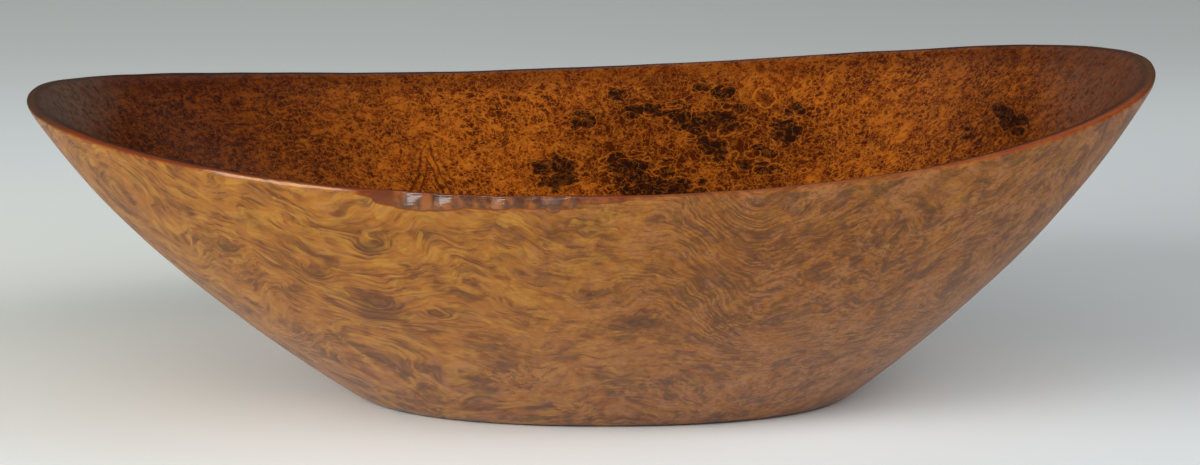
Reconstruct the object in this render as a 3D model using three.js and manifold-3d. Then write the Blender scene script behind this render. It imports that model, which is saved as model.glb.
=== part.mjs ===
// An oval bowl carved from one block of burl wood: a flat foot, flaring walls with a little belly,
// two ends that sweep up above the sides, and a stretch of the front rim that has chipped and worn smooth.
// Millimetres, +Z up. The origin is on the table, under the middle of the rim. X runs along the bowl,
// and -Y is the chipped side.

import * as THREE from "three";
import { LoftGeometry } from "three/addons/geometries/LoftGeometry.js";
import { mergeGeometries, mergeVertices } from "three/addons/utils/BufferGeometryUtils.js";
import Module from "manifold-3d";

// The rim, measured over its outer edge before the edge is eased.
const rimLength = 402;
const rimWidth = 313;
const rimHeight = 105;
const endSweep = 9; // how far the ends rise above the mean height, and the sides dip below it
const endTilt = 5; // the +X end stands this much above the mean of the two ends
const sideTilt = 0.5; // the front side stands this much above the mean of the two sides
const rimTwist = 1.5; // the back right and front left of the rim stand this much higher

// The foot that the bowl stands on.
const footLength = 178;
const footWidth = 131;
const footOffset = 5; // the foot's centre lies this far towards +X from the rim's

// The outline in plan is a superellipse, a little fuller in front than behind; 2 is a plain ellipse.
const frontFullness = 2.25;
const backFullness = 1.95;

// The wall. Its belly makes it flare quickly above the foot and stand up steeper near the rim.
const wallBelly = 0.4;
const rimWall = 5.5;
const footWall = 12;
const floorThickness = 12;
const hollowTurn = 0.45; // the height, as a share of the wall's, where the hollow starts to round into its floor

// Eased edges, as the distance from the sharp corner to where the easing starts.
const outerRimEase = 2.4;
const innerRimEase = 3.5;
const footEase = 3;

// Flakes lost from the outer edge of the front rim: where each is along X, how long it is,
// how far it goes into the rim's top, and how far down it would reach in a plumb wall.
// None goes through the rim's top, so its inner edge is whole.
const chips = [
  { at: -61, length: 28, bite: 2.4, drop: 4.5 },
  { at: -54.5, length: 17, bite: 4, drop: 6.5 },
  { at: -45, length: 17, bite: 3.8, drop: 6.2 },
  { at: -36, length: 19, bite: 3.2, drop: 5.4 },
  { at: -27, length: 15, bite: 3.8, drop: 5.2 },
  { at: -18.5, length: 17, bite: 3, drop: 4.8 },
  { at: -10, length: 20, bite: 3.9, drop: 6 },
  { at: 4, length: 26, bite: 2, drop: 3 },
];

// How finely the surface is divided.
const pointsRound = 112;
const wallSteps = 12;
const easeSteps = 3;
const hollowSteps = 7;
const floorSteps = 8;
const chipFacets = 14;

const wood = new THREE.MeshStandardMaterial({ name: "burl", color: 0xa8652c, roughness: 0.35, metalness: 0 });

const { lerp } = THREE.MathUtils;
const angles = Array.from({ length: pointsRound }, (_, i) => (i / pointsRound) * 2 * Math.PI);
const fullnessAt = (angle) => (Math.sin(angle) < 0 ? frontFullness : backFullness);
const signedPower = (value, power) => Math.sign(value) * Math.abs(value) ** power;

// The height of the rim's edge round the bowl.
function rimHeightAt(angle) {
  return (
    rimHeight +
    endTilt * Math.cos(angle) -
    sideTilt * Math.sin(angle) +
    endSweep * Math.cos(2 * angle) +
    rimTwist * Math.sin(2 * angle)
  );
}

// One oval section: its half length and half width, where its centre is along X, and its height at each angle.
function oval({ halfLength, halfWidth, centre, heightAt }) {
  return angles.map((angle) => {
    const power = 2 / fullnessAt(angle);
    return new THREE.Vector3(
      centre + halfLength * signedPower(Math.cos(angle), power),
      halfWidth * signedPower(Math.sin(angle), power),
      heightAt(angle),
    );
  });
}

// How far the wall has flared at a share of its rise from foot to rim, and how fast it flares there.
const flare = (rise) => rise * (1 + wallBelly * (1 - rise));
const flareRate = (rise) => 1 + wallBelly * (1 - 2 * rise);
const endOverhang = (rimLength - footLength) / 2;
const sideOverhang = (rimWidth - footWidth) / 2;

// The level distance through the wall, which is more than its thickness because the wall leans.
function levelThickness(rise, overhang) {
  const thickness = lerp(footWall, rimWall, rise);
  return thickness * Math.hypot(1, (overhang * flareRate(rise)) / rimHeight);
}

// The wall's section at a rise: share 0 is the outer face and share 1 the face of the hollow.
function wallSection(rise, share) {
  return oval({
    halfLength: footLength / 2 + endOverhang * flare(rise) - share * levelThickness(rise, endOverhang),
    halfWidth: footWidth / 2 + sideOverhang * flare(rise) - share * levelThickness(rise, sideOverhang),
    centre: lerp(footOffset, 0, flare(rise)),
    heightAt: (angle) => rimHeightAt(angle) * rise,
  });
}

// The hollow's section below the turn, at a share of the way out from its centre. Its height follows
// a power of that share, chosen so that the floor runs into the wall with no crease.
function hollowSection(reach) {
  const halfLength = footLength / 2 + endOverhang * flare(hollowTurn) - levelThickness(hollowTurn, endOverhang);
  const halfWidth = footWidth / 2 + sideOverhang * flare(hollowTurn) - levelThickness(hollowTurn, sideOverhang);
  const slope = rimHeight / (endOverhang * flareRate(hollowTurn));
  const power = (slope * halfLength) / (rimHeight * hollowTurn - floorThickness);
  return oval({
    halfLength: halfLength * reach,
    halfWidth: halfWidth * reach,
    centre: lerp(footOffset, 0, flare(hollowTurn)),
    heightAt: (angle) => floorThickness + (rimHeightAt(angle) * hollowTurn - floorThickness) * reach ** power,
  });
}

// Sections that turn a sharp corner into an eased one, from one section past the corner to the next.
function ease(from, corner, to) {
  return Array.from({ length: easeSteps + 1 }, (_, step) =>
    corner.map((point, i) =>
      new THREE.QuadraticBezierCurve3(from[i], point, to[i]).getPoint(step / easeSteps),
    ),
  );
}

// The section a given distance along from one section towards another.
function along(from, to, distance) {
  return from.map((point, i) => point.clone().lerp(to[i], distance / point.distanceTo(to[i])));
}

const evenly = (count, low, high) => Array.from({ length: count }, (_, i) => lerp(low, high, i / (count - 1)));

// The bowl's whole skin as one loft, from the edge of the foot up the outside, over the rim,
// down the inside and across the floor of the hollow.
function bowlSections() {
  const footEdge = wallSection(0, 0);
  const outerEdge = wallSection(1, 0);
  const innerEdge = wallSection(1, 1);
  const footCentre = footEdge.map(() => new THREE.Vector3(footOffset, 0, 0));
  const firstRise = footEase / rimHeight;
  const lastRise = 1 - outerRimEase / rimHeight;
  const innerRise = 1 - innerRimEase / rimHeight;
  return [
    ...ease(along(footEdge, footCentre, footEase), footEdge, wallSection(firstRise, 0)),
    ...evenly(wallSteps, firstRise, lastRise).slice(1, -1).map((rise) => wallSection(rise, 0)),
    ...ease(wallSection(lastRise, 0), outerEdge, along(outerEdge, innerEdge, outerRimEase)),
    ...ease(along(innerEdge, outerEdge, innerRimEase), innerEdge, wallSection(innerRise, 1)),
    ...evenly(hollowSteps, innerRise, hollowTurn).slice(1).map((rise) => wallSection(rise, 1)),
    ...evenly(floorSteps + 1, 1, 0).slice(1, -1).map(hollowSection),
  ];
}

function flatCap(section, height) {
  const outline = new THREE.Shape(section.map((point) => new THREE.Vector2(point.x, point.y)));
  return new THREE.ShapeGeometry(outline).translate(0, 0, height);
}

function bowlSurface() {
  const sections = bowlSections();
  const last = sections[sections.length - 1];
  last.forEach((point) => point.setZ(floorThickness));
  return mergeGeometries([new LoftGeometry(sections, { capStart: true }), flatCap(last, floorThickness)]);
}

// A flake is a stretched ball, centred on the rim's outer edge where the flake was lost.
function chipSurface({ at, length, bite, drop }) {
  const angle = -Math.acos(signedPower(at / (rimLength / 2), frontFullness / 2));
  const edge = (-rimWidth / 2) * Math.abs(Math.sin(angle)) ** (2 / frontFullness);
  return new THREE.SphereGeometry(1, chipFacets, chipFacets / 2)
    .rotateZ(Math.PI / chipFacets)
    .scale(length / 2, bite, drop)
    .translate(at, edge, rimHeightAt(angle));
}

const wasm = await Module();
wasm.setup();

function toSolid(geometry) {
  const bare = geometry.clone().deleteAttribute("normal").deleteAttribute("uv");
  const merged = mergeVertices(bare, 1e-3);
  return new wasm.Manifold(
    new wasm.Mesh({
      numProp: 3,
      vertProperties: merged.attributes.position.array,
      triVerts: new Uint32Array(merged.index.array),
    }),
  );
}

function toGeometry(solid) {
  const { vertProperties, triVerts } = solid.getMesh();
  const geometry = new THREE.BufferGeometry();
  geometry.setAttribute("position", new THREE.BufferAttribute(vertProperties, 3));
  geometry.setIndex(new THREE.BufferAttribute(triVerts, 1));
  geometry.computeVertexNormals();
  return geometry;
}

const chipped = chips.reduce((solid, chip) => solid.subtract(toSolid(chipSurface(chip))), toSolid(bowlSurface()));

const bowl = new THREE.Mesh(toGeometry(chipped), wood);
bowl.name = "bowl";

const group = new THREE.Group();
group.add(bowl);

export default group;
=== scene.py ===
# An oval bowl carved from one block of burl wood: waxed, darkened with age along its rim, and with
# a stretch of the front rim that has chipped and worn smooth. Lengths and places are in millimetres, with
# the origin on the floor under the middle of the rim, and -Y towards the camera. The lamps and the floor's
# reach are in metres.
import math

import bpy
import numpy as np
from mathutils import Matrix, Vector, noise


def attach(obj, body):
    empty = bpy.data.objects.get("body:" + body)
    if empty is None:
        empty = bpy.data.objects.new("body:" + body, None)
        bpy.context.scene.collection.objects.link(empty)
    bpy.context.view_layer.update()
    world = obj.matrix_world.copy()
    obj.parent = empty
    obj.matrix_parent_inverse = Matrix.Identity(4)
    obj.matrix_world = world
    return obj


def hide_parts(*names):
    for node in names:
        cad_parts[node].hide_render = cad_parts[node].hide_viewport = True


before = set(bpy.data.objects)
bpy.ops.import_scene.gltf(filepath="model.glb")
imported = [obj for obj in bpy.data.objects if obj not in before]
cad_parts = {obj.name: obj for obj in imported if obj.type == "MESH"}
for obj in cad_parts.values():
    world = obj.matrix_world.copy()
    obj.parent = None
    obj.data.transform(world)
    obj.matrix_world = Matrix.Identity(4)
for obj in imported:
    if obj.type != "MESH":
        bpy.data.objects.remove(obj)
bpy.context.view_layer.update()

MM = 0.001

# The rim, measured over its outer edge before the edge is eased.
RIM_LENGTH = 402
RIM_WIDTH = 313
RIM_HEIGHT = 105
END_SWEEP = 9
END_TILT = 5
SIDE_TILT = 0.5
RIM_TWIST = 1.5

# The foot.
FOOT_LENGTH = 178
FOOT_WIDTH = 131
FOOT_OFFSET = 5

# The plan's superellipse, and how much of the way round the tips it takes to change.
FRONT_FULLNESS = 2.25
BACK_FULLNESS = 1.95
FULLNESS_BLEND = 0.3

# The wall.
WALL_BELLY = 0.4
RIM_WALL = 5.5
FOOT_WALL = 12
FLOOR_THICKNESS = 12
HOLLOW_TURN = 0.45
END_OVERHANG = (RIM_LENGTH - FOOT_LENGTH) / 2
SIDE_OVERHANG = (RIM_WIDTH - FOOT_WIDTH) / 2

# Eased edges.
OUTER_RIM_EASE = 2.4
INNER_RIM_EASE = 3.5
FOOT_EASE = 3

# The unevenness of hand carving, as the depth, size and seed of each layer of noise, and the height over
# which it fades out above the foot.
CARVING = ((0.35, 46, 3), (0.15, 17, 9))
CARVING_FADE = 12

# Flakes lost from the outer edge of the front rim. Each left its own face: where it is along X, how
# long it is, how far it goes into the rim's top and down the wall, and how far it turns to -X.
CHIPS = (
    (-72.5, 13, 1.3, 3.2, -0.12),
    (-65.5, 12, 2.8, 6.2, -0.3),
    (-56.4, 10.6, 4.9, 6.1, 0.2),
    (-46.4, 10, 4.9, 6.0, 0.24),
    (-37.6, 12.6, 3.5, 5.8, -0.1),
    (-28.8, 8.6, 4.7, 5.8, 0.26),
    (-20.9, 10, 3.4, 5.3, -0.15),
    (-10.8, 14, 3.9, 5.0, 0.1),
    (-58.0, 15, 2.3, 8.7, -0.12),
    (-45.5, 15, 2.2, 8.5, 0.1),
    (-33.0, 15, 2.0, 8.0, 0),
    (-11.7, 5, 2.5, 7.2, 0),
    (3.5, 20, 1.9, 2.8, 0.04),
)

# A length of the same edge that is rubbed to a bright, flat slope.
RUBBED = ((-101, 66, 1.75, 1.9, 0),)

FACE_POWER = 0.95  # below 1 a face is fullest near its top, above 1 it is hollow
END_POWER = 5  # how squarely a face ends along X
CHIP_LEAN = 0.6  # the slope, in radians below level, along which a flake came away
CHIP_RIPPLE = ((0.036, 3.4, 21), (0.0168, 1.3, 33))  # as for the carving, in shares of a face's depth
DEEPEST_CHIP = 6
RIM_BAND = 7  # how far in from the rim's outer edge a flake can reach
SETTLING = (8, 0.8)  # how often a point is moved towards a flake's face, and by what share of the gap

# How finely the surface is divided, as distances between rows or columns and as numbers of rows.
COLUMN_STEP = 2.6
CHIP_STEP = 0.55
CHIP_STRETCH = (-84, 20)  # where along X the columns are finest
COLUMN_GAP = 0.005  # in radians, between the coarse columns and that stretch
WALL_STEP = 2.6
LIP_STEP = 0.6
LIP_DEPTH = 12  # how far below the rim the rows stay close together
FOOT_ROWS = 16
FOOT_EASE_ROWS = 5
OUTER_EASE_ROWS = 8
INNER_EASE_ROWS = 10

# The rows of the rim's outer and inner easing between which its worn top starts and ends, and those
# between which the outside turns into the hollow.
TOP_STARTS = (1, 5)
TOP_ENDS = (1, 7)
HOLLOW_STARTS = (-4, 6)


def signed_power(value, power):
    return np.sign(value) * np.abs(value) ** power


def smooth_step(value, low, high):
    share = np.clip((value - low) / (high - low), 0, 1)
    return share * share * (3 - 2 * share)


def fullness(angle):
    front = smooth_step(-np.sin(angle), -FULLNESS_BLEND, FULLNESS_BLEND)
    return BACK_FULLNESS + (FRONT_FULLNESS - BACK_FULLNESS) * front


def rim_height(angle):
    return (
        RIM_HEIGHT
        + END_TILT * np.cos(angle)
        - SIDE_TILT * np.sin(angle)
        + END_SWEEP * np.cos(2 * angle)
        + RIM_TWIST * np.sin(2 * angle)
    )


def oval(angle, half_length, half_width, centre, height):
    """One section of the bowl, as an array of points."""
    power = 2 / fullness(angle)
    x = centre + half_length * signed_power(np.cos(angle), power)
    y = half_width * signed_power(np.sin(angle), power)
    return np.stack([x, y, height + 0 * angle], axis=1)


def flare(rise):
    """How far the wall has flared at a share of its rise from foot to rim."""
    return rise * (1 + WALL_BELLY * (1 - rise))


def flare_rate(rise):
    return 1 + WALL_BELLY * (1 - 2 * rise)


def level_thickness(rise, overhang):
    """The level distance through the wall, which is more than its thickness because the wall leans."""
    thickness = FOOT_WALL + (RIM_WALL - FOOT_WALL) * rise
    return thickness * math.hypot(1, overhang * flare_rate(rise) / RIM_HEIGHT)


def wall_section(angle, rise, share):
    """The wall at a rise: share 0 is its outer face, and share 1 the face of the hollow."""
    return oval(
        angle,
        FOOT_LENGTH / 2 + END_OVERHANG * flare(rise) - share * level_thickness(rise, END_OVERHANG),
        FOOT_WIDTH / 2 + SIDE_OVERHANG * flare(rise) - share * level_thickness(rise, SIDE_OVERHANG),
        FOOT_OFFSET * (1 - flare(rise)),
        rim_height(angle) * rise,
    )


def hollow_section(angle, reach):
    """The hollow below its turn, at a share of the way out from its centre."""
    turn = HOLLOW_TURN
    half_length = FOOT_LENGTH / 2 + END_OVERHANG * flare(turn) - level_thickness(turn, END_OVERHANG)
    half_width = FOOT_WIDTH / 2 + SIDE_OVERHANG * flare(turn) - level_thickness(turn, SIDE_OVERHANG)
    slope = RIM_HEIGHT / (END_OVERHANG * flare_rate(turn))
    power = slope * half_length / (RIM_HEIGHT * turn - FLOOR_THICKNESS)
    height = FLOOR_THICKNESS + (rim_height(angle) * turn - FLOOR_THICKNESS) * reach**power
    return oval(angle, half_length * reach, half_width * reach, FOOT_OFFSET * (1 - flare(turn)), height)


def ease(start, corner, end, steps):
    """Sections that round a corner off, from one section past it to the next."""
    return [
        start * (1 - t) ** 2 + corner * 2 * t * (1 - t) + end * t * t for t in np.linspace(0, 1, steps + 1)
    ]


def along(start, end, distance):
    """The section a given distance along from one section towards another."""
    gap = end - start
    return start + gap * (distance / np.linalg.norm(gap, axis=1, keepdims=True))


def chip_angle(x):
    """The angle of the point of the front rim at a place along X."""
    share = np.clip(x / (RIM_LENGTH / 2), -1, 1)
    return 2 * math.pi - np.arccos(signed_power(share, FRONT_FULLNESS / 2))


def column_angles():
    """Angles round the bowl, closer together along the chipped stretch."""
    first, last = (chip_angle(x) for x in CHIP_STRETCH)
    round_rim = math.pi * (RIM_LENGTH + RIM_WIDTH) / 2
    coarse = np.linspace(0, 2 * math.pi, round(round_rim / COLUMN_STEP), endpoint=False)
    fine = np.linspace(first, last, round((CHIP_STRETCH[1] - CHIP_STRETCH[0]) / CHIP_STEP))
    outside = coarse[(coarse < first - COLUMN_GAP) | (coarse > last + COLUMN_GAP)]
    return np.sort(np.concatenate([outside, fine]))


def steps_between(low, high, distance, step):
    """Even values from low to high, as many as there are steps in the distance that they cover."""
    return np.linspace(low, high, max(2, round(distance / step) + 1))


def bowl_rows(angle):
    """The skin's sections from the foot's centre over the rim to the hollow's centre. With each come three
    values from 0 to 1: whether it is in the hollow, whether it is on the rim's worn top, and whether it
    is close under the rim inside."""
    foot_edge = wall_section(angle, 0, 0)
    outer_edge = wall_section(angle, 1, 0)
    inner_edge = wall_section(angle, 1, 1)
    foot_centre = 0 * foot_edge + (FOOT_OFFSET, 0, 0)
    foot_flat = along(foot_edge, foot_centre, FOOT_EASE)
    outer_top = along(outer_edge, inner_edge, OUTER_RIM_EASE)
    inner_top = along(inner_edge, outer_edge, INNER_RIM_EASE)
    first_rise = FOOT_EASE / RIM_HEIGHT
    last_rise = 1 - OUTER_RIM_EASE / RIM_HEIGHT
    inner_rise = 1 - INNER_RIM_EASE / RIM_HEIGHT
    lip_rise = 1 - LIP_DEPTH / RIM_HEIGHT
    wall_length = math.hypot(1, SIDE_OVERHANG / RIM_HEIGHT) * RIM_HEIGHT
    rows = []
    for share in np.linspace(0, 1, FOOT_ROWS)[1:-1]:
        rows.append((foot_centre + (foot_flat - foot_centre) * share, 0, 0, 0))
    for section in ease(foot_flat, foot_edge, wall_section(angle, first_rise, 0), FOOT_EASE_ROWS):
        rows.append((section, 0, 0, 0))
    for rise in steps_between(first_rise, lip_rise, wall_length, WALL_STEP)[1:-1]:
        rows.append((wall_section(angle, rise, 0), 0, 0, 0))
    for rise in steps_between(lip_rise, last_rise, LIP_DEPTH, LIP_STEP)[:-1]:
        rows.append((wall_section(angle, rise, 0), 0, 0, 0))
    over = ease(wall_section(angle, last_rise, 0), outer_edge, outer_top, OUTER_EASE_ROWS)
    for step, section in enumerate(over):
        rows.append((section, 0, smooth_step(step, *TOP_STARTS), 0))
    under = ease(inner_top, inner_edge, wall_section(angle, inner_rise, 1), INNER_EASE_ROWS)
    for step, section in enumerate(under):
        rows.append((section, smooth_step(step, *HOLLOW_STARTS), 1 - smooth_step(step, *TOP_ENDS), 1))
    for rise in steps_between(inner_rise, lip_rise, LIP_DEPTH, LIP_STEP * 2)[1:]:
        rows.append((wall_section(angle, rise, 1), 1, 0, smooth_step(rise, lip_rise, inner_rise)))
    upper_length = wall_length * (lip_rise - HOLLOW_TURN)
    for rise in steps_between(lip_rise, HOLLOW_TURN, upper_length, WALL_STEP)[1:]:
        rows.append((wall_section(angle, rise, 1), 1, 0, 0))
    for reach in steps_between(1, 0, RIM_LENGTH / 4, WALL_STEP)[1:-1]:
        rows.append((hollow_section(angle, reach), 1, 0, 0))
    sections, hollow, edge, lip = zip(*rows)
    return np.array(sections), {"hollow": hollow, "edge": edge, "lip": lip}


def grid_normals(points):
    """Outward normals of a grid of points whose columns close on themselves."""
    across = np.roll(points, -1, axis=1) - np.roll(points, 1, axis=1)
    up = np.gradient(points, axis=0)
    normal = np.cross(across, up)
    return normal / np.maximum(np.linalg.norm(normal, axis=2, keepdims=True), 1e-9)


def uneven(points, layers):
    """Smooth noise at each point of a grid, as a sum of layers."""
    total = np.zeros(points.shape[:2])
    for depth, size, seed in layers:
        flat = points.reshape(-1, 3) / size + seed
        total += depth * np.array([noise.noise(Vector(p)) for p in flat]).reshape(total.shape)
    return total


def blur(values):
    """Evens out a grid of values, whose columns close on themselves."""
    values = (np.roll(values, 1, axis=1) + 2 * values + np.roll(values, -1, axis=1)) / 4
    padded = np.pad(values, ((1, 1), (0, 0)), mode="edge")
    return (padded[:-2] + 2 * values + padded[2:]) / 4


def flake_depth(points, lean, flakes):
    """How far each point of the rim moves in along the lean of the flakes."""
    rounds, settled = SETTLING
    ripple = uneven(points, CHIP_RIPPLE)
    x, y, z = np.moveaxis(points, 2, 0)
    edge = wall_section(chip_angle(x).ravel(), 1, 0).reshape(points.shape)
    wall_lean = SIDE_OVERHANG * flare_rate(1) / RIM_HEIGHT
    depth = np.zeros(x.shape)
    for place, length, bite, drop, turn in flakes:
        reach = 1 - (2 * np.abs(x - place) / length) ** END_POWER
        into = bite * (reach + ripple) - turn * (x - place) * (reach > 0)
        mine = np.zeros(x.shape)
        for _ in range(rounds):
            moved = points + lean * mine[:, :, None]
            down = (edge - moved)[:, :, 2]
            inward = (moved - edge)[:, :, 1]
            face = into * (1 - np.clip(down / drop, 0, 2) ** FACE_POWER) + wall_lean * down
            mine = np.maximum(mine + settled * (face - inward), 0)
        near = (reach > 0) & (y < 0) & (y < edge[:, :, 1] + RIM_BAND) & (z > edge[:, :, 2] - drop - 1)
        depth = np.maximum(depth, np.where(near, mine, 0))
    return np.minimum(depth, DEEPEST_CHIP)


def bowl_points():
    """The bowl's skin, uneven from hand carving, rubbed and chipped along its rim, as a grid of points and
    the grids of values that its material reads."""
    angle = column_angles()
    points, masks = bowl_rows(angle)
    above_foot = smooth_step(points[:, :, 2], 0, CARVING_FADE)
    points = points + grid_normals(points) * (uneven(points, CARVING) * above_foot)[:, :, None]
    lean = np.array([0, math.cos(CHIP_LEAN), -math.sin(CHIP_LEAN)])
    rubbed = flake_depth(points, lean, RUBBED)
    points = points + lean * rubbed[:, :, None]
    chipped = blur(flake_depth(points, lean, CHIPS))
    points = points + lean * chipped[:, :, None]
    masks = {name: np.repeat(np.array(rows)[:, None], len(angle), axis=1) for name, rows in masks.items()}
    masks["chip"] = smooth_step(chipped, 0.05, 0.8)
    masks["polish"] = smooth_step(rubbed, 0.02, 0.4)
    return points, masks


def closed_mesh(name, points):
    """A mesh over a grid whose columns close, with a fan at each end."""
    rows, columns = points.shape[:2]
    first = points[0].mean(axis=0)
    last = points[-1].mean(axis=0)
    first[2] = 0
    vertices = np.concatenate([points.reshape(-1, 3), [first, last]]) * MM
    here = np.arange(columns)
    after = (here + 1) % columns
    faces = []
    for row in range(rows - 1):
        low, high = row * columns, (row + 1) * columns
        faces += np.stack([low + here, low + after, high + after, high + here], axis=1).tolist()
    top = (rows - 1) * columns
    faces += [(rows * columns, b, a) for a, b in zip(here.tolist(), after.tolist())]
    faces += [(rows * columns + 1, top + a, top + b) for a, b in zip(here.tolist(), after.tolist())]
    mesh = bpy.data.meshes.new(name)
    mesh.from_pydata(vertices.tolist(), [], faces)
    mesh.shade_smooth()
    return mesh


def make_bowl():
    points, masks = bowl_points()
    mesh = closed_mesh("bowl_skin", points)
    for name, grid in masks.items():
        values = np.concatenate([grid.ravel(), [grid[0, 0], grid[-1, 0]]]).astype(np.float32)
        mesh.attributes.new(name, "FLOAT", "POINT").data.foreach_set("value", values)
    bowl = bpy.data.objects.new("bowl_skin", mesh)
    bpy.context.scene.collection.objects.link(bowl)
    return bowl


class Graph:
    """Builds a material's nodes."""

    def __init__(self, name):
        self.material = bpy.data.materials.new(name)
        self.material.use_nodes = True
        self.tree = self.material.node_tree
        self.shader = self.tree.nodes["Principled BSDF"]
        coordinates = self.tree.nodes.new("ShaderNodeTexCoord").outputs["Object"]
        self.place = self.scale(coordinates, 1 / MM)

    def node(self, kind, inputs, **settings):
        node = self.tree.nodes.new(kind)
        for name, value in settings.items():
            setattr(node, name, value)
        for key, value in inputs.items():
            self.feed(node.inputs[key], value)
        return node

    def feed(self, socket, value):
        if isinstance(value, bpy.types.NodeSocket):
            self.tree.links.new(value, socket)
        else:
            socket.default_value = value

    def math(self, operation, a, b=0.0):
        return self.node("ShaderNodeMath", {0: a, 1: b}, operation=operation).outputs[0]

    def add(self, a, b):
        return self.math("ADD", a, b)

    def minus(self, a, b):
        return self.math("SUBTRACT", a, b)

    def times(self, first, *others):
        for other in others:
            first = self.math("MULTIPLY", first, other)
        return first

    def either(self, a, b):
        """The stronger of two masks."""
        return self.math("MAXIMUM", a, b)

    def gap(self, a, b):
        return self.math("ABSOLUTE", self.minus(a, b))

    def vector(self, operation, a, b):
        return self.node("ShaderNodeVectorMath", {0: a, 1: b}, operation=operation).outputs[0]

    def scale(self, vector, factor):
        return self.node("ShaderNodeVectorMath", {0: vector, "Scale": factor}, operation="SCALE").outputs[0]

    def length(self, vector):
        return self.node("ShaderNodeVectorMath", {0: vector}, operation="LENGTH").outputs["Value"]

    def split(self, vector):
        return self.node("ShaderNodeSeparateXYZ", {0: vector}).outputs

    def join(self, x, y, z):
        return self.node("ShaderNodeCombineXYZ", {0: x, 1: y, 2: z}).outputs[0]

    def noise(self, place, size, detail=2.0, roughness=0.5):
        values = {"Vector": place, "Scale": 1 / size, "Detail": detail, "Roughness": roughness}
        return self.node("ShaderNodeTexNoise", values)

    def grey_noise(self, place, size, detail=2.0, roughness=0.5):
        return self.noise(place, size, detail, roughness).outputs[0]

    def bend(self, place, size, reach, detail=2.0):
        """The place moved by smooth noise."""
        shift = self.vector("SUBTRACT", self.noise(place, size, detail).outputs["Color"], (0.5, 0.5, 0.5))
        return self.vector("ADD", place, self.scale(shift, reach))

    def cells(self, place, size):
        """Scattered cells: how far a place is from its cell's middle, and a number of each cell's own."""
        outputs = self.node("ShaderNodeTexVoronoi", {"Vector": place, "Scale": 1 / size}).outputs
        return outputs["Distance"], self.split(outputs["Color"])[0]

    def step(self, value, low, high, to_low=0.0, to_high=1.0):
        """Goes smoothly from to_low to to_high as a value goes from low to high."""
        inputs = {0: value, 1: low, 2: high, 3: to_low, 4: to_high}
        return self.node("ShaderNodeMapRange", inputs, interpolation_type="SMOOTHSTEP").outputs[0]

    def fade(self, mask, start, end):
        """Goes smoothly from start to end as a mask goes from 0 to 1."""
        return self.step(mask, 0.0, 1.0, start, end)

    def mix(self, factor, a, b, blend="MIX"):
        settings = {"data_type": "RGBA", "blend_type": blend, "clamp_factor": True}
        return self.node("ShaderNodeMix", {0: factor, 6: a, 7: b}, **settings).outputs[2]

    def paint(self, colour, over, *masks):
        """Lays one colour over another where all of its masks let it."""
        return self.mix(self.times(*masks), colour, over)

    def attribute(self, name):
        return self.node("ShaderNodeAttribute", {}, attribute_name=name).outputs["Fac"]

    def bump(self, height, strength, distance):
        values = {"Height": height, "Strength": strength, "Distance": distance}
        return self.node("ShaderNodeBump", values).outputs[0]


def shade(red, green, blue):
    """A colour as it would look on screen, 0 to 255, in the form that shaders take."""
    values = [c / 255 for c in (red, green, blue)]
    return (*[c / 12.92 if c <= 0.04045 else ((c + 0.055) / 1.055) ** 2.4 for c in values], 1.0)


# The outside: pale streaks, the wood between them, streaks of other hues, lines and knots.
STRAW = shade(200, 144, 60)
HONEY = shade(176, 112, 42)
TAN = shade(150, 88, 38)
ROSE = shade(172, 114, 74)
RUST = shade(160, 81, 34)
OLIVE = shade(112, 78, 40)
SLATE = shade(104, 70, 52)
UMBER = shade(100, 59, 31)
KNOT = shade(76, 46, 34)

# The inside, from its golden patches to the cores of its cells.
OCHRE = shade(178, 99, 24)
ORANGE = shade(118, 47, 5)
RUSSET = shade(103, 39, 2)
MAROON = shade(63, 19, 1)
CORE = shade(30, 11, 3)

# Towards the tips inside: painted shade that dims the wood, and a painted grey sheen at the left and right
# tips.
SHADED = (0.42, 0.34, 0.26, 1.0)
LEFT_TIP_SHEEN = shade(116, 96, 82)
RIGHT_TIP_SHEEN = shade(112, 76, 60)

# The rim's top: worn red in front, brighter at its outer corner towards the right end, dull behind and
# at the tips, and dark along its inner side.
RIM = shade(112, 40, 12)
EMBER = shade(138, 54, 18)
DULL = shade(58, 36, 25)
TIP = shade(76, 52, 40)
DEEP = shade(62, 34, 22)

# The wood laid bare in the chips, from dark to light, and in the redder chips at their left end.
BARE = shade(80, 50, 34)
SPLIT = shade(142, 80, 34)
SCAR = shade(104, 50, 26)

# The finish: dull wax outside, and a smoother, barer inside.
OUTSIDE_ROUGHNESS = 0.42
INSIDE_ROUGHNESS = 0.34
COAT_ROUGHNESS = 0.16
SPECULAR_LEVEL = 0.1
GRAIN_STRENGTH = 0.15
GRAIN_DEPTH = 0.2 * MM

# Knots on the outside of the front wall: place along X, height, and half sizes.
KNOTS = (
    (-120, 71, 4, 2),
    (-71, 76, 5, 3),
    (-91, 65, 4, 3),
    (-99, 56, 4, 2),
    (-71, 51, 9, 6),
    (-50, 51, 4, 2),
    (17, 47, 9, 3),
    (2, 60, 6, 2),
)

# Darker stretches there, crowded with pips.
SPECKLED = (
    (61, 73, 11, 7),
    (76, 61, 13, 7),
    (93, 61, 9, 6),
    (101, 74, 6, 5),
    (48, 46, 12, 6),
    (-30, 22, 16, 5),
    (20, 20, 22, 4),
)

# Plainer, golden stretches there.
CALM = (
    (12, 75, 9, 9),
    (17, 34, 14, 7),
    (-58, 88, 22, 5),
    (-20, 60, 12, 6),
)

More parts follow.
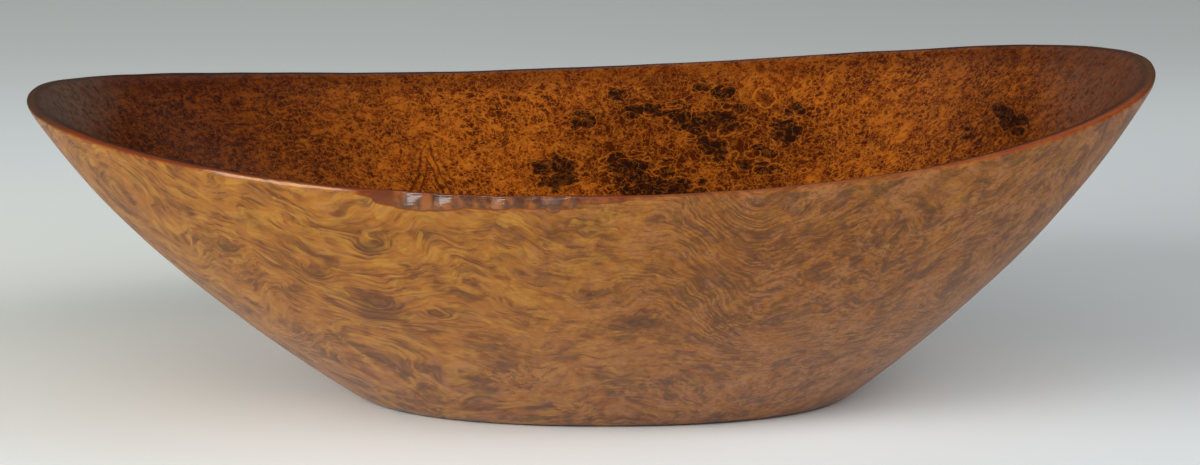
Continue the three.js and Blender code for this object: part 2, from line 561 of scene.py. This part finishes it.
# Dark clusters of cells on the inside of the back wall.
CLUSTERS = (
    (-13, 59, 9, 6),
    (-3, 76, 5, 4),
    (11, 86, 4, 2),
    (20, 80, 9, 3),
    (34, 80, 6, 4),
    (43, 90, 4, 2),
    (52, 88, 5, 3),
    (56, 82, 5, 3),
    (47, 76, 14, 5),
    (48, 68, 6, 5),
    (64, 65, 10, 5),
    (18, 61, 13, 5),
    (27, 54, 18, 5),
    (74, 75, 7, 5),
    (79, 83, 4, 3),
    (142, 82, 2, 2),
    (157, 89, 6, 5),
    (178, 107, 3, 2),
)

CLOUD = ((38, 71, 50, 20),)  # the darker wood round them
EYE = (68, 87, 4.5)  # a ringed eye there: place along X, height and radius
CROTCH = (-64, 70)  # where the grain there forks


def nearest(g, flat, patches):
    """How far a place is from the nearest patch, seen from the front, where 1 is on a patch's edge."""
    best = None
    for offset, up, half_length, half_height in patches:
        away = g.vector("SUBTRACT", flat, (offset, 0, up))
        distance = g.length(g.vector("MULTIPLY", away, (1 / half_length, 0, 1 / half_height)))
        best = g.math("MINIMUM", best, distance) if best else distance
    return best


def strokes(g, place, layers, length, width, detail=2.0):
    """Noise drawn out along the growth layers."""
    x, y, _ = g.split(place)
    drawn = g.join(g.times(x, 1 / length), g.times(y, 1 / length), g.times(layers, 1 / width))
    return g.grey_noise(drawn, 1, detail, 0.55)


def growth_layers(g, place, flat, front):
    """The growth layers that the outside cuts through. They bow up towards the ends, fold at the right of
    the front, and rise round knots in front and round scattered eyes elsewhere. With them come the dark
    cores of those."""
    x, _, z = g.split(g.place)
    wx, wy, wz = g.split(place)
    bowed = g.minus(wz, g.times(g.add(g.times(wx, wx), g.times(wy, wy)), 0.0015))
    fold = g.times(g.step(x, 24, 58), g.step(z, 22, 48), front, 30)
    knot = g.times(g.step(nearest(g, flat, KNOTS), 1.7, 0.1), front)
    away, own = g.cells(g.bend(g.place, 14, 9), 17)
    picked = g.times(g.step(own, 0.6, 0.66), g.minus(1, front))
    lift = g.add(g.times(knot, 3.5), g.times(picked, g.step(away, 0.4, 0.0), 5))
    core = g.either(g.step(knot, 0.1, 0.9), g.times(picked, g.step(away, 0.16, 0.05)))
    return g.add(g.add(bowed, fold), lift), core


def growth_lines(g, layers, streaks, calm, flat, front):
    """Thin dark lines along the growth layers, strongest round knots and in a fan of waves at the right."""
    x, _, z = g.split(g.place)
    wave = g.math("SINE", g.add(g.times(layers, 3.0), g.times(streaks, 9)))
    fan = g.times(g.step(x, 20, 34), g.step(x, 74, 56), g.step(z, 28, 44), front)
    ringed = g.times(g.step(nearest(g, flat, KNOTS), 2.2, 1.4), front)
    here = g.times(g.step(g.grey_noise(g.place, 24), 0.3, 0.6), 0.42)
    strength = g.either(here, g.times(g.either(ringed, fan), 0.6))
    lines = g.either(g.times(g.step(wave, 0.3, 1.0), strength), g.times(g.step(streaks, 0.44, 0.36), 0.6))
    return g.times(lines, g.fade(calm, 1.0, 0.5))


def outside_grit(g, colour, band, right, flat, front):
    """Lays fine dark grit over the outside, where it is crowded with pips."""
    grit = g.grey_noise(g.vector("MULTIPLY", g.bend(g.place, 3, 2.5), (0.6, 0.6, 1)), 1.2, 3.0, 0.65)
    speckled = g.times(g.step(nearest(g, g.bend(flat, 14, 12), SPECKLED), 1.4, 0.6), front)
    crowded = g.either(g.times(g.step(band, 0.5, 0.66), 0.5), g.either(speckled, g.times(right, 0.7)))
    colour = g.paint(colour, UMBER, g.step(grit, 0.56, 0.42), crowded, 0.5)
    return g.paint(colour, KNOT, g.step(grit, 0.43, 0.34), crowded, 0.4)


def outside_colour(g):
    """Honey wood whose thin brown lines run level, sweep up towards the ends and turn round knots. With
    its colour come its lines."""
    x, y, z = g.split(g.place)
    front = g.step(y, 10, -60)
    # Towards the right the wood is duller: partly its own speckled figure, partly painted shade.
    right = g.step(x, -80, 90)
    low = g.step(z, 55, 8)
    # Duller and pinker towards the right and the bottom: partly the wood's own colour, partly painted shade
    # and a painted pink sheen.
    dull_shade_and_sheen = g.either(right, low)
    # Rose and rust streaks grow stronger low down; the rose there is a painted pink sheen.
    reddish_and_sheen = g.add(g.times(low, 0.6), 0.15)
    flat = g.bend(g.join(x, 0.0, z), 9, 6)
    place = g.bend(g.bend(g.bend(g.place, 60, 30, 0.0), 22, 10, 1.0), 6.5, 2.0, 0.0)
    layers, core = growth_layers(g, place, flat, front)

    plain = g.times(g.step(nearest(g, g.bend(flat, 12, 10), CALM), 1.3, 0.6), front)
    calm = g.step(g.grey_noise(g.vector("ADD", g.bend(g.place, 16, 12), (90, 0, 0)), 13, 1.0), 0.46, 0.6)
    calm = g.either(calm, plain)
    lively = g.fade(calm, 1.0, 0.3)

    short = strokes(g, place, layers, 4.5, 0.8)
    long = strokes(g, place, layers, 9, 1.4)
    band = strokes(g, place, layers, 20, 6)
    tint = strokes(g, place, layers, 7, 1.6)
    fibre = strokes(g, place, layers, 2.4, 0.33)
    mass = strokes(g, g.bend(place, 9, 5), layers, 9, 3.6, 1.0)
    smoke = strokes(g, g.bend(place, 7, 4), g.add(layers, 40), 6, 2.6, 1.5)
    blotch = g.grey_noise(g.bend(g.place, 20, 14), 11)
    line = growth_lines(g, layers, long, calm, flat, front)

    # Less gold and straw towards the right, partly as painted shade.
    golden = g.times(g.step(g.add(long, g.times(calm, 0.08)), 0.3, 0.62), g.fade(right, 1.0, 0.55))
    colour = g.mix(golden, TAN, HONEY)
    colour = g.paint(colour, ROSE, g.step(tint, 0.48, 0.7), reddish_and_sheen)
    colour = g.paint(colour, RUST, g.step(tint, 0.5, 0.32), g.add(reddish_and_sheen, 0.1))
    colour = g.paint(colour, STRAW, g.step(short, 0.5, 0.72), g.fade(right, 0.4, 0.2))
    colour = g.paint(colour, UMBER, g.step(short, 0.43, 0.3), lively, g.fade(right, 0.55, 0.5))
    colour = g.paint(colour, UMBER, g.step(band, 0.46, 0.3), lively, 0.4)
    colour = g.paint(colour, UMBER, g.step(blotch, 0.45, 0.32), 0.45)
    # Rose over the duller wood is a painted pink sheen; the slate and olive below are partly painted shade.
    colour = g.paint(colour, ROSE, g.step(blotch, 0.5, 0.62), dull_shade_and_sheen, 0.5)
    colour = g.paint(colour, STRAW, g.step(mass, 0.52, 0.62), g.fade(right, 0.45, 0.15))
    colour = g.paint(colour, SLATE, g.step(mass, 0.46, 0.36), lively, g.fade(dull_shade_and_sheen, 0.25, 0.72))
    colour = g.paint(colour, OLIVE, g.step(smoke, 0.45, 0.34), lively, g.fade(dull_shade_and_sheen, 0.26, 0.75))
    colour = g.paint(colour, ROSE, g.step(smoke, 0.54, 0.66), g.fade(dull_shade_and_sheen, 0.3, 0.5))
    colour = g.paint(colour, UMBER, line)
    colour = g.paint(colour, UMBER, g.step(fibre, 0.52, 0.3), lively, g.fade(right, 0.3, 0.6))
    # Painted pink sheen at the right.
    colour = g.paint(colour, ROSE, g.step(fibre, 0.56, 0.72), right, 0.4)
    colour = outside_grit(g, colour, band, right, flat, front)
    return g.paint(colour, KNOT, core, 0.5), line


def pips(g, place, size, fill, fray=0.95):
    """Uneven round spots, and the thin outline of each."""
    away, own = g.cells(place, size)
    ragged = g.times(g.minus(g.grey_noise(place, size * 0.45), 0.5), fray)
    varied = g.times(g.minus(own, 0.5), 0.35)
    past = g.minus(g.add(away, g.add(ragged, varied)), fill)
    return g.step(past, 0.02, -0.14), g.step(g.gap(past, 0.1), 0.09, 0.0)


def ringed_eye(g, flat, eye):
    """A pale ring of one radius round a place, and the dark eye within it."""
    x, z, radius = eye
    distance = g.length(g.vector("MULTIPLY", g.vector("SUBTRACT", flat, (x, 0, z)), (1, 1, 1.3)))
    return g.step(g.gap(distance, radius), 0.8, 0.1), g.step(distance, radius * 0.6, radius * 0.3)


def crotch(g, flat, fork):
    """A few dark lines that part below a place, like those under a fork in a branch."""
    x, z = fork
    u, _, w = g.split(g.vector("SUBTRACT", flat, (x, 0, z)))
    nested = g.add(g.math("ABSOLUTE", g.add(u, g.times(w, 0.12))), g.times(w, 0.42))
    window = g.times(g.step(g.math("ABSOLUTE", nested), 4.4, 2.8), g.step(w, 2, -3), g.step(w, -24, -17))
    return g.times(g.step(g.math("SINE", g.times(nested, 2.2)), 0.1, 0.8), window)


def inside_ground(g, patch, spot, haze, mottle):
    """Orange wood that runs to gold and to dark red, from broad patches down to a fine mottle."""
    colour = g.mix(g.step(patch, 0.34, 0.6), RUSSET, ORANGE)
    colour = g.paint(colour, OCHRE, g.step(patch, 0.5, 0.68), 0.45)
    colour = g.paint(colour, RUSSET, g.step(spot, 0.52, 0.36), 0.85)
    colour = g.paint(colour, OCHRE, g.step(spot, 0.54, 0.68), 0.5)
    colour = g.paint(colour, MAROON, g.step(haze, 0.5, 0.36), 0.65)
    colour = g.paint(colour, OCHRE, g.step(haze, 0.55, 0.68), 0.7)
    colour = g.paint(colour, OCHRE, g.step(mottle, 0.51, 0.69), 0.8)
    return g.paint(colour, MAROON, g.step(mottle, 0.54, 0.34), 0.7)


def inside_marks(g, colour, mottle, flat, back, left):
    """Lays over the inside the swirls of its left, the slanting streaks of its back right, and the eye and
    the crotch of its back wall."""
    x, _, z = g.split(g.place)
    whorl = strokes(g, g.bend(g.bend(g.place, 24, 18), 7, 4), z, 5, 1.2)
    colour = g.paint(colour, MAROON, g.step(whorl, 0.47, 0.3), left, 0.7)
    colour = g.paint(colour, OCHRE, g.step(whorl, 0.54, 0.7), left, 0.5)
    a, b = g.add(x, g.times(z, 1.3)), g.minus(x, g.times(z, 1.3))
    slant = g.grey_noise(g.bend(g.join(g.times(a, 0.18), g.times(b, 0.75), 0.0), 1.5, 0.8), 1)
    colour = g.paint(colour, MAROON, g.step(slant, 0.48, 0.34), g.step(x, 80, 130), back, 0.6)
    ring, eye = ringed_eye(g, flat, EYE)
    colour = g.paint(colour, OCHRE, ring, back, g.step(mottle, 0.4, 0.6, 0.35, 0.85))
    colour = g.paint(colour, MAROON, eye, back, 0.7)
    return g.paint(colour, MAROON, crotch(g, flat, CROTCH), back, 0.7)


def end_shade_and_sheen(g, colour, mottle):
    """Paints shade over the inside towards both ends, and a grey sheen at the tips."""
    x = g.split(g.place)[0]
    # Painted shade: full towards the left end, and lighter towards the right end.
    colour = g.mix(g.step(x, -50, -155), colour, SHADED, "MULTIPLY")
    colour = g.mix(g.times(g.step(x, 115, 150), 0.45), colour, SHADED, "MULTIPLY")
    # Painted grey sheen inside both tips.
    tip = g.either(g.times(g.step(x, -170, -192), 0.65), g.times(g.step(x, 158, 184), 0.55))
    tip_sheen = g.mix(g.step(x, -100, 100), LEFT_TIP_SHEEN, RIGHT_TIP_SHEEN)
    return g.paint(colour, tip_sheen, tip, g.step(mottle, 0.38, 0.6, 0.5, 1.4))


def inside_colour(g):
    """Orange and golden wood crowded with dark pips, some of them grown together into dark clouds. With
    its colour come its pips."""
    x, y, z = g.split(g.place)
    back = g.step(y, -10, 60)
    left = g.step(x, -50, -130)
    flat = g.bend(g.join(x, 0.0, z), 7, 5)
    cluster = g.times(g.step(nearest(g, g.bend(flat, 2.5, 3), CLUSTERS), 1.9, 0.5), back)
    cloud = g.times(g.step(nearest(g, flat, CLOUD), 1.3, 0.7), back)
    wild = g.step(g.grey_noise(g.bend(g.place, 40, 30), 45), 0.56, 0.68)
    dark = g.either(cluster, g.times(wild, g.step(y, 60, -10)))
    quiet = g.minus(1, g.either(g.times(dark, 0.65), g.times(cloud, 0.4)))

    crumple = g.vector("MULTIPLY", g.bend(g.bend(g.place, 16, 9), 3.2, 2.2), (1, 1, 1.3))
    mottle = g.grey_noise(crumple, 3, 4.0, 0.72)
    spot = g.grey_noise(g.vector("MULTIPLY", g.bend(g.place, 8, 6), (0.7, 0.7, 1)), 4.5)
    haze = g.grey_noise(g.bend(g.bend(g.place, 14, 10), 5, 4), 8, 3.0)
    patch = g.grey_noise(g.bend(g.place, 22, 16), 15, 3.0)
    area = g.grey_noise(g.bend(g.place, 30, 18), 26)
    curl = g.grey_noise(g.bend(g.place, 5, 4), 3.4)

    crowd = g.times(g.either(cloud, g.step(x, -60, -120)), 0.08)
    crowd = g.add(g.step(area, 0.36, 0.62, -0.06, 0.16), crowd)
    drawn = g.vector("MULTIPLY", g.bend(g.bend(g.place, 16, 6), 5, 2.2), (0.44, 0.44, 1))
    tiny, tiny_ring = pips(g, crumple, 1.6, g.add(crowd, 0.36))
    mid, mid_ring = pips(g, crumple, 2.9, g.add(g.add(crowd, 0.26), g.times(dark, 0.2)))
    large, large_ring = pips(g, drawn, 3.5, g.fade(dark, -0.25, 0.66), 0.4)
    tiny = g.times(tiny, g.step(haze, 0.62, 0.46, 0.45, 1.0))
    mass = g.step(g.add(dark, g.times(g.minus(spot, 0.5), 1.6)), 0.2, 0.75)
    gloom = g.times(cloud, g.step(spot, 0.6, 0.44, 0.4, 0.8))
    worm = g.step(g.gap(curl, 0.5), 0.045, 0.0)

    colour = inside_ground(g, patch, spot, haze, mottle)
    colour = g.paint(colour, MAROON, g.either(g.times(mass, 0.85), gloom))
    colour = g.paint(colour, OCHRE, tiny_ring, quiet, 0.6)
    colour = g.paint(colour, MAROON, tiny, g.step(mottle, 0.6, 0.4, 0.35, 0.8), g.fade(left, 1.0, 0.6))
    colour = g.paint(colour, OCHRE, mid_ring, quiet, 0.6)
    colour = g.paint(colour, MAROON, mid, g.fade(left, 0.75, 0.5))
    colour = g.paint(colour, OCHRE, large_ring, g.step(dark, 0.1, 0.6, 0.0, 0.5))
    colour = g.paint(colour, CORE, large, mass, g.step(mottle, 0.64, 0.44, 0.45, 0.95))
    colour = g.paint(colour, OCHRE, worm, quiet, g.step(patch, 0.3, 0.6, 0.3, 0.65))
    colour = inside_marks(g, colour, mottle, flat, back, left)
    return end_shade_and_sheen(g, colour, mottle), g.either(tiny, mid)


def worn_rim(g, colour, hollow, edge, polish):
    """Lays the rim's top, worn and darkened with age, over the wood, and the shade close under its back
    inside.
    """
    x, y, _ = g.split(g.place)
    rim = g.mix(g.step(y, -40, 60), g.mix(g.step(x, 50, 120), RIM, EMBER), DULL)
    rim = g.paint(rim, DEEP, g.step(hollow, 0.02, 0.3))
    rim = g.paint(rim, TIP, g.step(g.gap(x, 5), 176, 194))
    strength = g.times(g.step(x, 0, 40, 1.0, 0.5), g.step(x, 90, 140, 1.0, 1.7))
    colour = g.paint(colour, rim, edge, g.minus(1, polish), strength, 0.92)
    under = g.times(g.math("POWER", g.attribute("lip"), 2.0), g.step(y, -20, 60))
    return g.paint(colour, MAROON, under, g.minus(0.4, g.times(edge, 0.4)))


def bare_wood(g, colour, chip):
    """Lays bare wood over the faces of the chips, with a red line round them."""
    x = g.split(g.place)[0]
    bare = g.mix(g.step(g.grey_noise(g.place, 4, 3.0), 0.42, 0.66), BARE, SPLIT)
    bare = g.mix(g.step(x, -61, -65), bare, SCAR)
    colour = g.paint(colour, bare, chip, 0.92)
    return g.paint(colour, RIM, chip, g.minus(1, chip), 3)


def burl_material():
    g = Graph("burl_wood")
    x, _, z = g.split(g.place)
    hollow, edge, chip, polish = (g.attribute(name) for name in ("hollow", "edge", "chip", "polish"))
    turn = g.step(hollow, 0.35, 0.65)
    outside, line = outside_colour(g)
    inside, pit = inside_colour(g)
    colour = worn_rim(g, g.mix(turn, outside, inside), hollow, edge, polish)
    relief = g.mix(turn, g.times(line, -1), g.times(pit, -1))
    roughness = g.minus(g.fade(turn, OUTSIDE_ROUGHNESS, INSIDE_ROUGHNESS), g.times(edge, 0.12))
    wax = g.times(g.minus(1, turn), g.minus(1, edge), g.step(z, 85, 15, 0.04, 0.3))
    worn = g.either(g.times(polish, 0.34), g.times(chip, g.step(x, -65, -60, 0.12, 0.54)))
    g.feed(g.shader.inputs["Base Color"], bare_wood(g, colour, chip))
    g.feed(g.shader.inputs["Roughness"], roughness)
    g.feed(g.shader.inputs["Coat Weight"], g.either(wax, worn))
    g.feed(g.shader.inputs["Normal"], g.bump(relief, GRAIN_STRENGTH, GRAIN_DEPTH))
    g.shader.inputs["Coat Roughness"].default_value = COAT_ROUGHNESS
    g.shader.inputs["Specular IOR Level"].default_value = SPECULAR_LEVEL
    return g.material


# The floor's paper: in front, at the left of the bowl, with painted shade at its right and behind it at
# both sides, and out of sight.
PAPER = shade(244, 252, 254)
PAPER_LEFT = shade(244, 248, 241)
PAPER_RIGHT_SHADE = shade(221, 225, 227)
PAPER_SHADE_FAR_LEFT = shade(225, 230, 227)
PAPER_SHADE_FAR_RIGHT = shade(217, 222, 221)
PAPER_UNSEEN = shade(158, 161, 159)
LEFT_PATCH = (-380, 150, 0)
RIGHT_SHADE_PATCH = (460, 260, 0)
PATCH_FADE = (540, 120)  # the distances from a patch's middle between which it comes in
FAR_STRETCH = (400, 1000)  # where along Y the paper behind the bowl comes in
SEEN_CENTRE = (0, 500, 0)
SEEN_FADE = (700, 1800)
FLOOR_REACH = 6.0

CAMERA_PLACE = (3.4, -1400, 310.3)
CAMERA_TILT = 0.1792  # in radians below level
CAMERA_LENS = 118.5
CAMERA_SENSOR = 36

# Each lamp: where it is, what it faces, its size and its power in watts.
LAMPS = {
    "key": ((-1.5, -1.5, 1.0), (0, 0, 0.05), (1.5, 0.6), 33),
    "front": ((0.3, -2.3, 1.65), (0, 0, 0.05), (3.0, 1.8), 42),
    "right": ((1.9, -0.8, 1.4), (0.3, 0, 0), (1.6, 1.6), 21),
    "side": ((-2.3, 0.3, 1.4), (0, 0.2, 0.05), (1.6, 1.6), 9),
    "back": ((0.4, 1.5, 1.7), (0.4, 1.1, 0), (2.6, 1.0), 5),
}
ROOM = (0.04, 0.041, 0.042, 1)
BACKDROP = shade(172, 178, 178)


def floor_material():
    """Pale paper, a little warmer at the left, dimmed by painted shade at the right and behind, and darker
    out of sight.
    """
    g = Graph("paper")
    x, y, _ = g.split(g.place)

    def away_from(place):
        return g.length(g.vector("SUBTRACT", g.place, place))

    near = g.mix(g.step(away_from(LEFT_PATCH), *PATCH_FADE), PAPER, PAPER_LEFT)
    # Painted shadow: a soft darker patch at the right of the bowl.
    near = g.mix(g.step(away_from(RIGHT_SHADE_PATCH), *PATCH_FADE), near, PAPER_RIGHT_SHADE)
    # Painted shade: the paper dims behind the bowl.
    far = g.mix(g.step(x, -200, 300), PAPER_SHADE_FAR_LEFT, PAPER_SHADE_FAR_RIGHT)
    colour = g.mix(g.step(y, *FAR_STRETCH), near, far)
    colour = g.mix(g.step(away_from(SEEN_CENTRE), *SEEN_FADE), colour, PAPER_UNSEEN)
    g.feed(g.shader.inputs["Base Color"], colour)
    g.shader.inputs["Roughness"].default_value = 0.9
    g.shader.inputs["Specular IOR Level"].default_value = 0.1
    return g.material


def make_floor():
    mesh = bpy.data.meshes.new("floor")
    corners = [(x * FLOOR_REACH, y * FLOOR_REACH, 0) for x, y in ((-1, -1), (1, -1), (1, 1), (-1, 1))]
    mesh.from_pydata(corners, [], [(0, 1, 2, 3)])
    floor = bpy.data.objects.new("floor", mesh)
    bpy.context.scene.collection.objects.link(floor)
    mesh.materials.append(floor_material())


def make_camera():
    """The photograph's view: from a little above and nearly square to the front."""
    data = bpy.data.cameras.new("camera")
    data.sensor_width = CAMERA_SENSOR
    data.lens = CAMERA_LENS
    camera = bpy.data.objects.new("camera", data)
    camera.location = Vector(CAMERA_PLACE) * MM
    camera.rotation_euler = (math.pi / 2 - CAMERA_TILT, 0, 0)
    bpy.context.scene.collection.objects.link(camera)
    bpy.context.scene.camera = camera


def add_lamp(name, place, aim, size, watts):
    data = bpy.data.lights.new(name, "AREA")
    data.shape = "RECTANGLE"
    data.size, data.size_y = size
    data.energy = watts
    lamp = bpy.data.objects.new(name, data)
    lamp.location = place
    lamp.rotation_euler = (Vector(aim) - Vector(place)).to_track_quat("-Z", "Y").to_euler()
    bpy.context.scene.collection.objects.link(lamp)


def make_light():
    """Soft light from the front left in a dim room, whose backdrop only the camera sees as pale."""
    for name, settings in LAMPS.items():
        add_lamp(name, *settings)
    world = bpy.data.worlds.new("studio")
    world.use_nodes = True
    tree = world.node_tree
    seen = tree.nodes.new("ShaderNodeLightPath").outputs["Is Camera Ray"]
    colour = tree.nodes.new("ShaderNodeMix")
    colour.data_type = "RGBA"
    colour.inputs[6].default_value = ROOM
    colour.inputs[7].default_value = BACKDROP
    tree.links.new(seen, colour.inputs[0])
    tree.links.new(colour.outputs[2], tree.nodes["Background"].inputs["Color"])
    bpy.context.scene.world = world


bowl = make_bowl()
bowl.data.materials.append(burl_material())
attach(bowl, "root")
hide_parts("bowl")

make_floor()
make_camera()
make_light()
bpy.context.scene.view_settings.view_transform = "Standard"
